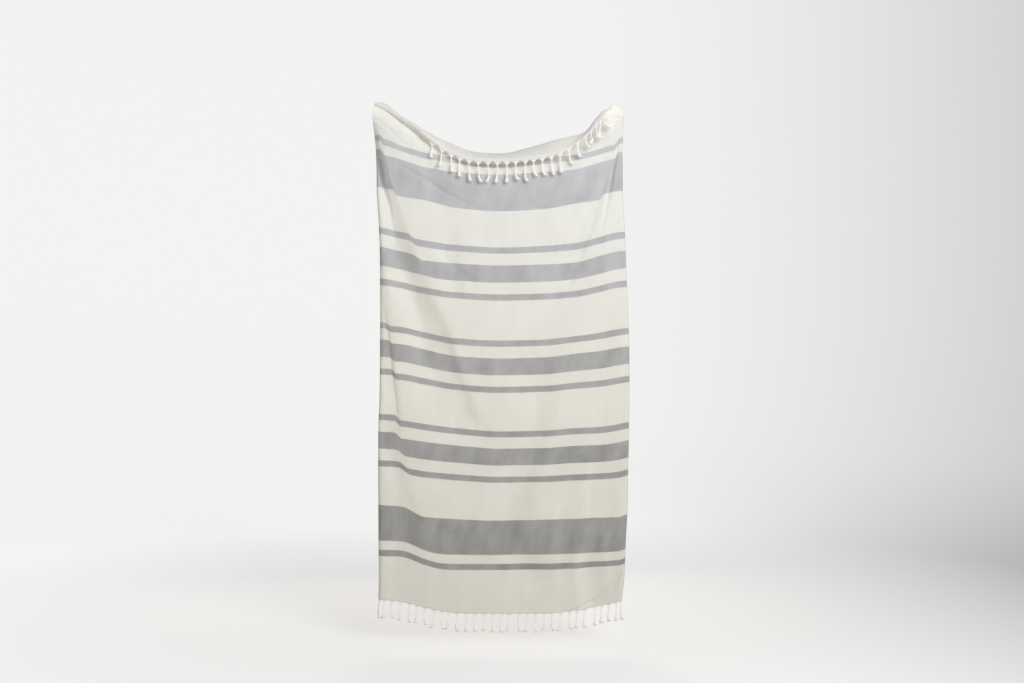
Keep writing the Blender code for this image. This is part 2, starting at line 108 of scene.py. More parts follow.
# Soft valleys pressed back into the panel: height, x of the bottom, left and right half widths (mm),
# depth (mm).
VALLEYS = {
    "long diagonal": (
        (0.00, 0.063, 217, 217, 3), (0.275, 0.034, 253, 162, 7), (0.40, -0.009, 253, 162, 9),
        (0.566, -0.088, 217, 217, 11), (0.73, -0.186, 188, 123, 15), (0.893, -0.262, 120, 123, 21),
        (1.06, -0.309, 88, 100, 26), (1.228, -0.374, 70, 94, 23), (1.34, -0.398, 50, 62, 14),
        (1.42, -0.426, 36, 56, 15), (1.50, -0.456, 26, 56, 18), (1.56, -0.466, 20, 52, 17),
        (1.587, -0.468, 18, 50, 13)),
    "left shoulder": (
        (1.06, -0.182, 43, 58, 0), (1.228, -0.190, 43, 58, 8), (1.39, -0.204, 51, 58, 2),
        (1.52, -0.240, 51, 108, 9), (1.587, -0.260, 72, 108, 5)),
    "left edge": (
        (0.00, -0.384, 51, 144, 5), (0.275, -0.377, 58, 116, 12), (0.40, -0.370, 51, 58, 9),
        (0.566, -0.428, 29, 94, 15), (0.73, -0.403, 36, 45, 9), (0.893, -0.442, 29, 56, 10),
        (1.06, -0.446, 29, 51, 8), (1.228, -0.449, 29, 29, 6), (1.30, -0.449, 29, 29, 0)),
    "right diagonal": (
        (0.00, 0.208, 108, 87, 3), (0.275, 0.009, 87, 108, 7), (0.40, 0.056, 87, 94, 9),
        (0.566, 0.070, 108, 94, 12), (0.73, 0.128, 123, 94, 8), (0.893, 0.099, 108, 166, 12),
        (1.06, 0.153, 108, 144, 6), (1.228, 0.229, 79, 72, 5), (1.39, 0.301, 58, 58, 6),
        (1.455, 0.345, 51, 44, 6), (1.52, 0.384, 51, 44, 6), (1.587, 0.404, 43, 36, 2.5)),
    "inner pleat": (
        (0.00, 0.229, 51, 65, 4), (0.275, 0.215, 36, 51, 6), (0.40, 0.218, 29, 43, 3),
        (0.60, 0.250, 29, 43, 0)),
    "middle pleat": (
        (0.00, 0.334, 70, 95, 17), (0.12, 0.318, 60, 110, 18), (0.275, 0.298, 40, 120, 11),
        (0.40, 0.323, 36, 110, 9), (0.55, 0.338, 36, 95, 5), (0.75, 0.350, 36, 80, 0)),
    "outer pleat": (
        (0.00, 0.417, 36, 36, 2), (0.275, 0.388, 36, 43, 6), (0.40, 0.395, 36, 43, 3),
        (0.60, 0.403, 36, 36, 0)),
}

# Finer creases, pressed in (+) or standing proud (-): height, x, left and right half widths (mm), depth (mm).
CREASES = {
    "left shoulder pinch": (
        (1.27, -0.384, 8, 14, 0.0), (1.33, -0.396, 10, 12, 2.5), (1.40, -0.410, 12, 11, 5.0),
        (1.475, -0.442, 12, 20, 13.0), (1.53, -0.450, 12, 20, 13.0), (1.587, -0.455, 9, 12, 6.0)),
    "collar diagonal": (
        (1.43, -0.030, 30, 30, 0.0), (1.46, -0.092, 28, 30, 2.0), (1.486, -0.153, 27, 30, 3.5),
        (1.504, -0.208, 27, 30, 4.0), (1.538, -0.273, 26, 28, 4.0), (1.571, -0.370, 26, 26, 2.0),
        (1.587, -0.400, 26, 26, 0.0)),
    "second diagonal": (
        (1.15, -0.070, 12, 14, 0.0), (1.199, -0.117, 12, 16, 3.0), (1.265, -0.193, 12, 16, 3.5),
        (1.31, -0.240, 12, 16, 0.0)),
    "waist kink": (
        (0.66, -0.100, 50, 36, 0.0), (0.713, -0.125, 50, 36, 3.0), (0.808, -0.155, 55, 36, 4.5),
        (0.889, -0.188, 60, 38, 6.0), (0.978, -0.210, 60, 38, 6.5), (1.06, -0.240, 50, 40, 3.5),
        (1.13, -0.270, 40, 36, 0.0)),
    "left edge step": (
        (0.60, -0.378, 20, 8, 0.0), (0.66, -0.380, 22, 8, 3.0), (0.72, -0.386, 24, 8, 4.5),
        (0.84, -0.400, 24, 8, 5.0), (0.90, -0.406, 22, 8, 4.5), (0.97, -0.417, 20, 8, 4.0),
        (1.06, -0.430, 16, 8, 0.0)),
    "right shoulder pinch": (
        (1.34, 0.358, 9, 12, 0.0), (1.37, 0.363, 10, 12, 2.0), (1.437, 0.381, 12, 12, 5.0),
        (1.471, 0.389, 12, 12, 6.5), (1.541, 0.402, 12, 11, 7.0), (1.587, 0.414, 10, 8, 3.5)),
    "right kink": (
        (1.10, 0.222, 24, 18, 0.0), (1.16, 0.236, 24, 16, 2.0), (1.255, 0.268, 22, 14, 2.5),
        (1.31, 0.296, 20, 14, 3.0), (1.37, 0.325, 16, 14, 2.0), (1.42, 0.345, 14, 12, 0.0)),
    "press line": (
        (0.60, -0.082, 4, 4, 0.0), (0.66, -0.085, 4, 4, -0.7), (1.25, -0.103, 4, 4, -0.8),
        (1.33, -0.103, 4, 4, 0.0)),
    "hip streak": (
        (0.17, 0.277, 12, 14, 0.0), (0.21, 0.277, 13, 14, -4.0), (0.34, 0.305, 13, 14, -4.0),
        (0.42, 0.312, 12, 14, 0.0)),
    "outer streak": (
        (0.15, 0.300, 12, 16, 0.0), (0.20, 0.335, 12, 16, -4.0), (0.33, 0.395, 12, 16, -4.0),
        (0.37, 0.420, 10, 14, 0.0)),
    "corner sweep": (
        (0.0, 0.250, 26, 28, 3.0), (0.036, 0.350, 20, 24, 5.0), (0.073, 0.396, 15, 18, 6.0),
        (0.129, 0.430, 10, 10, 4.5), (0.18, 0.445, 6, 6, 0.0)),
}

# The upper end, a row for each section across. `x` is where the section leaves the panel, and each feature is
# (up from the origin, back from the panel's plane) in mm. Left of the middle the hem is tucked into a roll.
TOP_SECTIONS = (
    # x        lean       ridge      crown      lip        under      hem
    (-0.453, ((130, -3), (158, -1), (176, 3), (174, -4), (168, -6), (163, -6))),
    (-0.424, ((118, -1), (146, 1), (172, 6), (166, -5), (154, -6), (146, -4))),
    (-0.370, ((66, 1), (104, 6), (130, 9), (122, -6), (112, -3), (104, 4))),
    (-0.320, ((36, 3), (80, 17), (101, 15), (92, -7), (82, -3), (73, 5))),
    (-0.285, ((13, 4), (60, 30), (78, 18), (66, -9), (55, -7), (46, 0))),
    (-0.258, ((4, 4), (54, 42), (65, 21), (47, -8), (36, -9), (31, -5))),
    (-0.240, ((-4, 6), (48, 50), (56, 28), (36, -7), (25, -10), (19, -9))),
    (-0.197, ((-28, 8), (34, 58), (38, 40), (10, 0), (-2, -9), (-10, -10))),
    (-0.099, ((-64, 10), (0, 69), (4, 52), (-23, -1), (-32, -9), (-40, -10))),
    (-0.009, ((-69, 10), (-1, 76), (0, 62), (-27, -1), (-36, -9), (-43, -10))),
    (0.099, ((-62, 10), (19, 66), (21, 53), (-17, -2), (-29, -10), (-36, -10))),
    (0.208, ((-43, 6), (47, 53), (50, 40), (6, -3), (-5, -10), (-13, -11))),
    (0.298, ((-13, 0), (62, 49), (74, 40), (63, 6), (56, -5), (50, -10))),
    (0.352, ((12, 0), (88, 16), (129, 16), (116, 4), (96, -5), (84, -9))),
    (0.395, ((37, 0), (105, 3), (151, 6), (141, -2), (125, -7), (113, -10))),
    (0.431, ((70, 0), (118, 2), (149, 4), (167, 3), (160, -4), (146, -8))),
)
# Towards the two grips the upper end is drawn sideways: x, then each feature's shift (mm).
TOP_DRAW = (
    (-0.453, (-9, -4, 0, 0, 0, 0)),
    (-0.424, (-4, -2, 0, 0, 0, 0)),
    (-0.370, (0, 0, 0, 0, 0, 0)),
    (0.298, (0, 0, 0, 0, 0, 0)),
    (0.352, (3, 3, -4, -12, -15, -17)),
    (0.395, (0, -8, -20, -28, -32, -36)),
    (0.431, (3, 5, -5, -28, -43, -47)),
)
# Slack of the upper end: x, and the share by which its lower part is held back along the section.
TOP_SLACK = (
    (-0.453, -0.08), (-0.370, 0.02), (-0.320, -0.04), (-0.285, -0.04), (-0.240, 0.0),
    (0.208, 0.0), (0.298, 0.03), (0.352, 0.18), (0.395, 0.19), (0.431, 0.04),
)
SPLINE_STEPS = 24        # points between two features when a section's length is measured

# Grooves of the upper end that run across the cloth: distance from the left selvedge (m), height (m),
# lower and upper half widths (mm), depth (mm).
GROOVES = {
    "left grip streak": (
        (0.000, 1.715, 7, 7, 1.0), (0.020, 1.706, 7, 7, 2.0), (0.106, 1.665, 8, 8, 2.0),
        (0.160, 1.640, 8, 8, 0.0)),
    "outer rim": (
        (0.870, 1.755, 5, 5, 0.0), (0.885, 1.752, 5, 5, 2.2), (0.910, 1.745, 5, 5, 3.0),
        (0.940, 1.728, 5, 5, 3.0), (0.970, 1.700, 5, 5, 2.4)),
    "inner rim": (
        (0.870, 1.738, 5, 5, 0.0), (0.885, 1.735, 5, 5, 1.8), (0.910, 1.728, 5, 5, 2.4),
        (0.940, 1.708, 5, 5, 2.4), (0.970, 1.680, 5, 5, 1.8)),
}

# Grey weft bands on the cut cloth: from, to (height).
GREY_BANDS = (
    (0.1585, 0.1805), (0.2126, 0.3361), (0.4733, 0.4946), (0.5357, 0.5968), (0.6379, 0.6596),
    (0.7989, 0.8206), (0.8621, 0.9231), (0.9653, 0.9877), (1.1318, 1.1542), (1.1968, 1.2588),
    (1.3014, 1.3238), (1.4545, 1.5874), (1.6195, 1.6415),
)

# Lines of the fine mesh: (up to this share or height, number of steps).
ACROSS_STEPS = ((0.018, 5), (0.036, 5), (0.19, 40), (0.27, 20), (0.80, 88), (0.979, 42), (1.0, 8))
HEIGHT_STEPS = ((0.02, 5), (0.12, 14), (1.30, 112), (1.587, 41), (1.65, 14), (1.74, 24), (1.80, 18))

# Hem: between two tassels the edge is bitten back in a shallow arch, and it puckers a little.
ARCH_RISE = 0.0040
HEM_DROP = 0.002         # of the lower hem at a tassel
ARCH_REACH = 0.022       # how far up the cloth an arch draws the weave
PUCKER = 0.0009
PUCKER_REACH = 0.030
CALM_FROM = 1.60         # height above which the worn relief fades
CALM_OVER = 0.05
CALM_SHARE = 0.7

# Waves of the worn relief: rise (mm), length (m), shares across and along the cloth, start (radians).
RELIEF_WAVES = (
    (0.45, 0.170, 1.00, 0.25, 1.3), (0.35, 0.104, 1.00, -0.18, 0.4), (0.30, 0.230, 0.30, 1.00, 2.1),
    (0.20, 0.061, 1.00, 0.10, 4.0), (0.12, 0.037, 1.00, -0.07, 5.1),
)

# ---------------------------------------------------------------- tassels (metres)
TASSEL_LENGTH = 0.062
FORWARD_LEAN = 0.06
BEND_LENGTH = 0.006      # over which a tassel turns from the hem's direction to its own
STRAND_POINTS = 64
GATHER = 0.015           # length over which the loose warp threads close to the twist
THREAD_REACH = 0.017     # of a tassel's outermost thread from its root, as a share across
THREADS = 13
THREAD_THICK = (0.00070, 0.00055)  # radius at the hem and at the twist
THREAD_POINTS = 8
THREAD_BEND = (0.62, 0.20, 0.18)   # weights of the root, the twist's start and the hem in a thread's bend
PLY_RADIUS = 0.00145
PLY_OFFSET = 0.00120
TWIST_PITCH = 0.0100
TWIST_INTO_KNOT = 0.02   # share of the length by which the plies run on into the knot
KNOT_LENGTH = 0.0075
KNOT_NECK = 0.0024       # radius at both ends of the knot
KNOT_SWELL = 0.0019      # what the middle of the knot adds to it
KNOT_LUMPS = (0.16, 0.06)          # of its two turning waves, as shares of the radius
KNOT_RINGS, KNOT_SIDES = 10, 12
BRUSH_LENGTH = 0.0185
BRUSH_HALF = 0.0072      # half the width of the spread ends
BRUSH_ENDS = 20
END_THICK = (0.00105, 0.00080)     # radius of a loose end at the knot and at its tip
BELL = (0.38, 0.82)      # the brush's full core, as shares of BRUSH_HALF at the knot and at its end
BELL_LENGTH = 0.86       # share of the brush's length
PLY_SIDES, THREAD_SIDES, BELL_SIDES, END_SIDES = 6, 4, 10, 4


# ---------------------------------------------------------------- curves through tables
def ease(t):
    """0 below 0, 1 above 1, and 3t^2 - 2t^3 between."""
    t = np.clip(t, 0.0, 1.0)
    return t * t * (3.0 - 2.0 * t)


def through(knots, values, at):
    """Monotone cubic curve through `values` (rows, or rows of columns) at `knots`, read at `at`."""
    knots = np.asarray(knots, float)
    values = np.asarray(values, float)
    columns = values.ndim > 1
    step = np.diff(knots)
    wide = step[:, None] if columns else step
    slope = np.diff(values, axis=0) / wide
    before, after = slope[:-1], slope[1:]
    w_before = 2.0 * wide[1:] + wide[:-1]
    w_after = wide[1:] + 2.0 * wide[:-1]
    same_way = before * after > 0.0
    mean = (w_before + w_after) / (w_before / np.where(same_way, before, 1.0)
                                   + w_after / np.where(same_way, after, 1.0))
    tangent = np.empty_like(values)
    tangent[0], tangent[-1] = slope[0], slope[-1]
    tangent[1:-1] = np.where(same_way, mean, 0.0)
    i = np.clip(np.searchsorted(knots, at, side="right") - 1, 0, len(knots) - 2)
    t = np.clip((at - knots[i]) / step[i], 0.0, 1.0)
    h = step[i]
    if columns:
        t, h = t[..., None], h[..., None]
    return ((1 + 2 * t) * (1 - t) ** 2 * values[i] + t * (1 - t) ** 2 * h * tangent[i]
            + t * t * (3 - 2 * t) * values[i + 1] + t * t * (t - 1) * h * tangent[i + 1])


# ---------------------------------------------------------------- the hanging panel
def sag(x, height):
    """Rise of a weft line over its middle: a curve across each row, and a straight blend between rows."""
    heights = np.array([row[0] for row in SAG_ROWS])
    rows = np.array([row[1] for row in SAG_ROWS], float) * MM
    at_x = through(SAG_X, rows.T, np.clip(x, SAG_X[0], SAG_X[-1]))
    i = np.clip(np.searchsorted(heights, height, side="right") - 1, 0, len(heights) - 2)
    t = np.clip((height - heights[i]) / (heights[i + 1] - heights[i]), 0.0, 1.0)
    low = np.take_along_axis(at_x, i[..., None], -1)[..., 0]
    high = np.take_along_axis(at_x, i[..., None] + 1, -1)[..., 0]
    return low + (high - low) * t


def fold_jumps(x, height):
    """Sum of the stepped folds' jumps, each an eased step across its fold line."""
    total = np.zeros_like(x)
    for outward, rows in STEPPED_FOLDS.values():
        at, place, half, jump = np.array(rows).T
        centre = np.interp(height, at, place)
        width = np.interp(height, at, half) * MM
        drop = np.interp(height, at, jump, left=jump[0] if at[0] == 0.0 else 0.0) * MM
        total += drop * ease(0.5 + outward * (x - centre) / (2.0 * width))
    return total


def troughs(table, x, height):
    """Sum of a table's troughs, each half a cosine wave wide on either side of its bottom line."""
    total = np.zeros_like(x)
    for rows in table.values():
        at, place, left, right, deep = np.array(rows).T
        centre = np.interp(height, at, place)
        half = np.where(x < centre, np.interp(height, at, left), np.interp(height, at, right)) * MM
        depth = np.interp(height, at, deep, left=deep[0] if at[0] == 0.0 else 0.0) * MM
        total += depth * 0.5 * (1.0 + np.cos(np.pi * np.clip(np.abs(x - centre) / half, 0.0, 1.0)))
    return total


def selvedge_curl(beyond, radius):
    """Sideways and backward travel of cloth that turns back: an arc of `radius`, then a straight run."""
    turn = np.clip(beyond / radius, 0.0, CURL_TURN)
    rest = np.clip(beyond - CURL_TURN * radius, 0.0, None)
    sideways = radius * np.sin(turn) + rest * np.cos(CURL_TURN)
    back = radius * (1.0 - np.cos(turn)) + rest * np.sin(CURL_TURN)
    return sideways, back


def panel(across, height):
    """Middle surface of the panel: flat across between the selvedge curls, with sag, folds and valleys."""
    edge_heights, left_x, right_x = np.array(SIDE_EDGES).T
    front_left = through(edge_heights, left_x, height) + LEFT_CURL_RADIUS
    front_right = through(edge_heights, right_x, height) - RIGHT_CURL_RADIUS
    from_left = across * CUT_WIDTH
    flat = CUT_WIDTH - LEFT_CURL_LENGTH - RIGHT_CURL_LENGTH
    x = front_left + (front_right - front_left) * np.clip((from_left - LEFT_CURL_LENGTH) / flat, 0.0, 1.0)
    left_side, left_back = selvedge_curl(np.clip(LEFT_CURL_LENGTH - from_left, 0.0, None), LEFT_CURL_RADIUS)
    past_right = np.clip(from_left - (CUT_WIDTH - RIGHT_CURL_LENGTH), 0.0, None)
    right_side, right_back = selvedge_curl(past_right, RIGHT_CURL_RADIUS)
    x = x - left_side + right_side
    fade = ease((height - CURL_FADE_FROM) / (CURL_FADE_TO - CURL_FADE_FROM))
    curl = (left_back + right_back) * (1.0 - (1.0 - CURL_LEFT_AT_GRIP) * fade)
    y = PANEL_Y + troughs(VALLEYS, x, height) + troughs(CREASES, x, height) + curl
    z = HEM_Z + height + sag(x, height) + fold_jumps(x, height)
    return np.stack([x, y, z], -1)


# ---------------------------------------------------------------- the upper end
def top_features(x):
    """The six feature points of the upper end's section at panel place `x`, read across the two tables."""
    section_x = np.array([row[0] for row in TOP_SECTIONS])
    up_back = np.array([row[1] for row in TOP_SECTIONS], float) * MM
    draw_x = np.array([row[0] for row in TOP_DRAW])
    draw = np.array([row[1] for row in TOP_DRAW], float) * MM
    points = []
    for k in range(up_back.shape[1]):
        here = through(section_x, up_back[:, k], np.clip(x, section_x[0], section_x[-1]))
        shift = through(draw_x, draw[:, k], np.clip(x, draw_x[0], draw_x[-1]))
        points.append(np.stack([x + shift, PANEL_Y + here[..., 1], here[..., 0]], -1))
    return points


def along(points, share):
    """Place at `share` of the length of a smooth curve that leaves the first of `points` upwards."""
    p = np.stack(points, 0)
    knots = np.cumsum(np.sqrt(np.linalg.norm(np.diff(p, axis=0), axis=-1)), 0)
    knots = np.concatenate([np.zeros_like(knots[:1]), knots], 0)
    step = np.diff(knots, axis=0)[..., None]
    slope = np.diff(p, axis=0) / step
    tangent = np.empty_like(p)
    tangent[1:-1] = (slope[:-1] * step[1:] + slope[1:] * step[:-1]) / (step[1:] + step[:-1])
    tangent[-1] = slope[-1]
    tangent[0] = slope[0] * np.array([0.3, 0.3, 1.0])
    dense = [p[0]]
    for i in range(len(points) - 1):
        for k in range(SPLINE_STEPS):
            t = (k + 1.0) / SPLINE_STEPS
            dense.append((1 + 2 * t) * (1 - t) ** 2 * p[i] + t * (1 - t) ** 2 * step[i] * tangent[i]
                         + t * t * (3 - 2 * t) * p[i + 1] + t * t * (t - 1) * step[i] * tangent[i + 1])
    dense = np.stack(dense, 0)
    length = np.cumsum(np.linalg.norm(np.diff(dense, axis=0), axis=-1), 0)
    length = np.concatenate([np.zeros_like(length[:1]), length], 0)
    target = share * length[-1]
    i = np.clip((length <= target[None]).sum(0) - 1, 0, len(dense) - 2)
    cell = tuple(np.indices(i.shape))
    start, end = length[(i,) + cell], length[(i + 1,) + cell]
    t = ((target - start) / np.maximum(end - start, 1e-9))[..., None]
    return dense[(i,) + cell] * (1 - t) + dense[(i + 1,) + cell] * t


def cloth(across, height):
    """Middle surface of the whole cloth: the panel up to TOP_START, then the upper end's sections."""
    across, height = np.broadcast_arrays(np.asarray(across, float), np.asarray(height, float))
    points = panel(across, np.minimum(height, TOP_START))
    upper = height > TOP_START
    low = points[upper]
    share = (height[upper] - TOP_START) / (CUT_LENGTH - TOP_START)
    share = share * (1.0 - np.interp(low[..., 0], *zip(*TOP_SLACK)) * (1.0 - share))
    points[upper] = along([low] + top_features(low[..., 0]), share)
    return points


def lines(steps):
    """Values from 0 through each (end, count) pair, evenly spaced within each pair."""
    values = [0.0]
    for end, count in steps:
        values.extend(np.linspace(values[-1], end, count + 1)[1:])
    return np.array(values)


def hem_arch(across, roots):
    """1 midway between two tassels and 0 at each: one minus the squared distance from the midpoint."""
    marks = np.concatenate([[-0.02], roots, [1.02]])
    i = np.clip(np.searchsorted(marks, across, side="right") - 1, 0, len(marks) - 2)
    t = (across - marks[i]) / (marks[i + 1] - marks[i])
    return 1.0 - (2.0 * t - 1.0) ** 2


def surface_normals(points):
    """Unit normals of a grid of points, to the front: across the rows times up the columns."""
    side = np.gradient(points, axis=1)
    rise = np.gradient(points, axis=0)
    normal = np.cross(side, rise)
    return normal / np.maximum(np.linalg.norm(normal, axis=-1, keepdims=True), 1e-12)


def unevenness(across, height):
    """Relief of the worn cloth: the sum of RELIEF_WAVES, sine waves of different slants."""
    u, v = across * CUT_WIDTH, height
    return sum(rise * MM * np.sin(2.0 * np.pi * (along_u * u + along_v * v) / length + start)
               for rise, length, along_u, along_v, start in RELIEF_WAVES)


# ---------------------------------------------------------------- meshes
def piece_from(name, points, faces, uv=None):
    """An object of these points and faces. With `uv`, each corner takes its point's pair as the map "cut"."""
    mesh = bpy.data.meshes.new(name)
    mesh.from_pydata(points, [], faces)
    if uv is not None:
        layer = mesh.uv_layers.new(name="cut")
        corner = np.empty(len(mesh.loops), dtype=np.int32)
        mesh.loops.foreach_get("vertex_index", corner)
        layer.uv.foreach_set("vector", np.asarray(uv, np.float32)[corner].ravel())
    mesh.shade_smooth()
    item = bpy.data.objects.new(name, mesh)
    bpy.context.collection.objects.link(item)
    return item


def grid_faces(rows, columns, first=0, around=False):
    """Faces of a grid of `rows` by `columns` points, counted from `first`; `around` closes each row."""
    r, c = np.meshgrid(np.arange(rows - 1), np.arange(columns if around else columns - 1), indexing="ij")
    n = (c + 1) % columns
    a, b = r * columns + c, r * columns + n
    return (np.stack([a, b, b + columns, a + columns], -1) + first).reshape(-1, 4)


def capped_faces(rings, sides, first):
    """Faces of a closed tube: the grid around it, and one cap at each end."""
    faces = grid_faces(rings, sides, first, around=True).tolist()
    faces.append(list(range(first + sides - 1, first - 1, -1)))
    last = first + (rings - 1) * sides
    faces.append(list(range(last, last + sides)))
    return faces


def frame_along(path, up):
    """Unit heading of a path and two unit directions square to it: heading times `up`, heading times that."""
    heading = np.gradient(path, axis=0)
    heading /= np.linalg.norm(heading, axis=-1, keepdims=True)
    u = np.cross(heading, up)
    u /= np.linalg.norm(u, axis=-1, keepdims=True)
    return heading, u, np.cross(heading, u)


def make_cloth():
    """The cloth: a fine grid with its relief along the normals, and its edge bitten back between tassels."""
    across, height = np.meshgrid(lines(ACROSS_STEPS), lines(HEIGHT_STEPS))
    low_arch, high_arch = hem_arch(across, BOTTOM_ROOTS), hem_arch(across, TOP_ROOTS)
    bitten = height + (ARCH_RISE * low_arch - HEM_DROP) * ease(1.0 - height / ARCH_REACH)
    bitten = bitten - ARCH_RISE * high_arch * ease(1.0 - (CUT_LENGTH - height) / ARCH_REACH)
    points = cloth(across, bitten)
    low_end, high_end = ease(1.0 - height / PUCKER_REACH), ease(1.0 - (CUT_LENGTH - height) / PUCKER_REACH)
    pucker = PUCKER * ((low_arch - 0.5) * low_end + (high_arch - 0.5) * high_end)
    calm = 1.0 - CALM_SHARE * ease((height - CALM_FROM) / CALM_OVER)
    relief = unevenness(across, height) * calm + pucker - troughs(GROOVES, height, across * CUT_WIDTH)
    points = points + surface_normals(points) * relief[..., None]
    rows, columns = across.shape
    uv = np.stack([across * CUT_WIDTH, bitten], -1).reshape(-1, 2)
    item = piece_from("towel", points.reshape(-1, 3), grid_faces(rows, columns).tolist(), uv)
    thick = item.modifiers.new("Thickness", "SOLIDIFY")
    thick.thickness = CLOTH_THICK
    thick.offset = 0.0
    return item, points


def tube(path, radius, sides, first):
    """A closed tube: a ring of `sides` points at `radius` around each point of `path`, and two caps."""
    u, w = frame_along(path, (0.13, 1.0, 0.039))[1:]
    angle = np.arange(sides) * 2.0 * np.pi / sides
    radius = np.broadcast_to(radius, len(path))[:, None, None]
    rings = path[:, None] + radius * (np.cos(angle)[None, :, None] * u[:, None]
                                      + np.sin(angle)[None, :, None] * w[:, None])
    return rings.reshape(-1, 3), capped_faces(len(path), sides, first)


def strand_axis(root, out, length, swing, depth, curl, index):
    """Axis of a tassel: it leaves the hem along `out`, bends down, and waves sideways in a slow sine."""
    run = np.linspace(0.0, length, STRAND_POINTS)[:, None]
    down = np.array([swing / length, -depth, -1.0])
    down /= np.linalg.norm(down)
    bend = BEND_LENGTH * (1.0 - np.exp(-run / BEND_LENGTH))
    share = run / length
    wave = curl * np.sin(2.0 * np.pi * share * 1.15 + 1.9 * index) * share * (1.25 - share)
    sideways = np.array([1.0, 0.0, 0.0])
    return root + out * bend + down * (run - bend) + sideways * wave


def make_tassel(hem_here, root, out, length, swing, depth, curl, turn, index):
    """One tassel: loose warp threads that close to a two-ply twist, an overhand knot and a brush of ends."""
    parts, faces, first = [], [], 0

    def add(points, new_faces):
        """Take up a closed part whose faces count from `first`, and move `first` past it."""
        nonlocal first
        parts.append(points)
        faces.extend(new_faces)
        first += len(points)

    axis = strand_axis(root, out, length, swing, depth, curl, index)
    share = np.linspace(0.0, 1.0, STRAND_POINTS)
    heading, u, w = frame_along(axis, (0.0, 1.0, 0.2))
    start = GATHER / length
    low, high = 1.0 - (BRUSH_LENGTH + KNOT_LENGTH) / length, 1.0 - BRUSH_LENGTH / length
    twist = (share >= start) & (share <= low + TWIST_INTO_KNOT)
    angle = 2.0 * np.pi * share[twist] * length / TWIST_PITCH + index
    for ply in (0.0, np.pi):
        offset = np.cos(angle + ply)[:, None] * u[twist] + np.sin(angle + ply)[:, None] * w[twist]
        add(*tube(axis[twist] + PLY_OFFSET * offset, PLY_RADIUS, PLY_SIDES, first))
    gather = axis[np.argmax(twist)] + heading[np.argmax(twist)] * 0.001
    for point in hem_here:
        t = np.linspace(0.0, 1.0, THREAD_POINTS)[:, None]
        middle = THREAD_BEND[0] * root + THREAD_BEND[1] * gather + THREAD_BEND[2] * point
        path = (1 - t) ** 2 * point + 2 * t * (1 - t) * middle + t * t * gather
        add(*tube(path, np.linspace(*THREAD_THICK, THREAD_POINTS), THREAD_SIDES, first))
    # The knot: a lumpy ball drawn out along the strand, with a slanting groove where the loop crosses.
    at = np.linspace(low, high, KNOT_RINGS)
    centre = np.stack([np.interp(at, share, axis[:, i]) for i in range(3)], -1)
    side = np.array([np.interp(at, share, u[:, i]) for i in range(3)]).T
    front = np.array([np.interp(at, share, w[:, i]) for i in range(3)]).T
    theta = np.arange(KNOT_SIDES) * 2.0 * np.pi / KNOT_SIDES
    t = np.linspace(0.0, 1.0, KNOT_RINGS)[:, None]
    bulge = KNOT_NECK + KNOT_SWELL * np.sin(np.pi * t) ** 0.7
    lump = (1.0 + KNOT_LUMPS[0] * np.sin(2.0 * theta[None] + 5.0 * t + index)
            + KNOT_LUMPS[1] * np.sin(5.0 * theta[None] - 4.0 * t))
    rings = centre[:, None] + (bulge * lump)[..., None] * (np.cos(theta)[None, :, None] * side[:, None]
                                                          + np.sin(theta)[None, :, None] * front[:, None])
    add(rings.reshape(-1, 3), capped_faces(KNOT_RINGS, KNOT_SIDES, first))
    # The brush: a full bell of ends, and loose ones around it that fan out below the knot. The remainders of
    # k times 0.618 and k times 0.71 give each end its own spread and reach.
    neck = centre[-2]
    right, fore = u[-1], w[-1]
    down = heading[-1] + np.array([math.tan(math.radians(turn)), 0.0, 0.0])
    down /= np.linalg.norm(down)
    t = np.linspace(0.0, 1.0, 6)[:, None]
    bell = np.linspace(*BELL, 6) * BRUSH_HALF
    add(*tube(neck + down * BRUSH_LENGTH * BELL_LENGTH * t, bell, BELL_SIDES, first))
    for k in range(BRUSH_ENDS):
        way = 2.0 * np.pi * (k + 0.35 * math.sin(2.3 * k + index)) / BRUSH_ENDS
        spread = BRUSH_HALF * (0.74 + 0.26 * ((k * 0.618 + 0.1 * index) % 1.0))
        reach = (BRUSH_LENGTH + 0.0010) * (0.88 + 0.20 * ((k * 0.71 + 0.3 * index) % 1.0))
        t = np.linspace(0.0, 1.0, 5)[:, None]
        flare = (0.42 + 0.58 * t) * spread * (np.cos(way) * right + np.sin(way) * fore)
        path = neck + down * reach * t + flare
        add(*tube(path, np.linspace(*END_THICK, 5), END_SIDES, first))
    return np.concatenate(parts, 0), faces


def make_fringe(name, points, row, inner_row, roots, table):
    """The tassels of one hem: each root is on the cloth's edge, and its threads leave the cloth beside it."""
    shares = lines(ACROSS_STEPS)
    edge, inner = points[row], points[inner_row]
    ends = np.concatenate([[roots[0] - 2.0 * THREAD_REACH], roots, [roots[-1] + 2.0 * THREAD_REACH]])

    def on(line, at):
        """Place on a row of the cloth's grid at a share across, straight between its points."""
        return np.stack([np.interp(at, shares, line[:, i]) for i in range(3)], -1)

    parts, faces, first = [], [], 0
    for index, (here, (length, swing, depth, curl, turn)) in enumerate(zip(roots, table)):
        root = on(edge, here)
        out = root - on(inner, here)
        out /= np.linalg.norm(out)
        reach_left = min(0.47 * (here - ends[index]), THREAD_REACH)
        reach_right = min(0.47 * (ends[index + 2] - here), THREAD_REACH)
        beside = np.clip(np.linspace(here - reach_left, here + reach_right, THREADS), 0.001, 0.999)
        hem_here = on(edge, beside) * 0.8 + on(inner, beside) * 0.2
        new, new_faces = make_tassel(hem_here, root, out, length, swing, depth, curl, turn, index)
        parts.append(new)
        faces.extend([[k + first for k in face] for face in new_faces])
        first += len(new)
    return piece_from(name, np.concatenate(parts, 0), faces)


